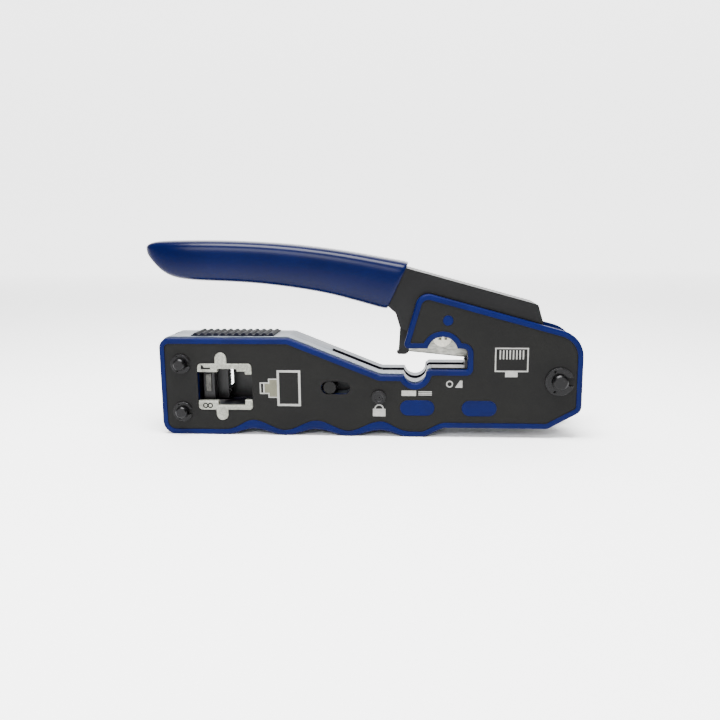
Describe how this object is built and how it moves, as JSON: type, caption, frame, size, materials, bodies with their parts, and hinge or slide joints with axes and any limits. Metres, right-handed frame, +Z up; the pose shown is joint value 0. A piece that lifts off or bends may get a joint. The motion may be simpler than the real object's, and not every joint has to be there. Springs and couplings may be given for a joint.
{
  "type": "modular plug crimping tool",
  "caption": "Hand crimper for modular network plugs: flat body with a plug nest and finger waves, cable mouth with blade, and a sprung, dipped lever handle.",
  "frame": {"origin": "under the middle of the tool, on the surface its lower edge stands on", "axes": "+X along the tool towards the handle pivot, +Y away from the viewer through the body, +Z up"},
  "size_m": [0.1468, 0.025, 0.0658],
  "materials": {
    "cover": "semi-matt moulded nylon",
    "face_plate": "fine matt black powder coat",
    "shell": "fine satin",
    "pad": "matt moulded",
    "guide": "bead blasted",
    "dark_steel": "blackened",
    "pin": "black oxide",
    "frame": "semi-gloss black coat",
    "grip": "smooth dipped vinyl, semi-gloss",
    "blade": "ground",
    "disc": "satin nickel",
    "knob": "matt"
  },
  "bodies": {
    "body": {"front_cover": "cover", "rear_cover": "cover", "front_plate": "face_plate", "rear_plate": "face_plate", "front_shell": "shell", "rear_shell": "shell", "slot_spacer": "shell", "thumb_pad": "pad", "upper_guide": "guide", "lower_guide": "guide", "plug_stop": "dark_steel", "cutter_anvil": "dark_steel", "die_pins": "pin", "die_clips": "pin", "pivot_pin": "pin", "pivot_clips": "pin", "lock_guide_pin": "pin", "return_spring": "pin"},
    "handle": {"handle_frame": "frame", "handle_grip": "grip", "latch_plate": "frame", "plate_rivets": "frame", "cutter_blade": "blade", "blade_disc": "disc", "crank_pin": "pin", "pivot_bush": "blade"},
    "ram": {"drawbar": "dark_steel", "comb_holder": "dark_steel", "comb_clamp": "blade", "crimp_comb": "blade", "trim_blade": "blade"},
    "lock": {"lock_bar": "dark_steel", "lock_knob": "knob"}
  },
  "joints": [
    {"name": "handle_hinge", "type": "hinge", "parent": "body", "child": "handle", "pos_m": [0.066, 0, 0.0193], "axis": [0, -1, 0], "range_deg": [0, 8.1], "stiffness_Nm_per_rad": 0.6, "springref_deg": -28.65},
    {"name": "ram_slide", "type": "slide", "parent": "body", "child": "ram", "axis": [1, 0, 0], "range_m": [0, 0.0013]},
    {"name": "lock_slide", "type": "slide", "parent": "body", "child": "lock", "axis": [1, 0, 0], "range_m": [0, 0.0044]}
  ],
  "couplings": [
    {"joint": "ram_slide", "follows": "handle_hinge", "m_per_rad": 0.00898}
  ]
}
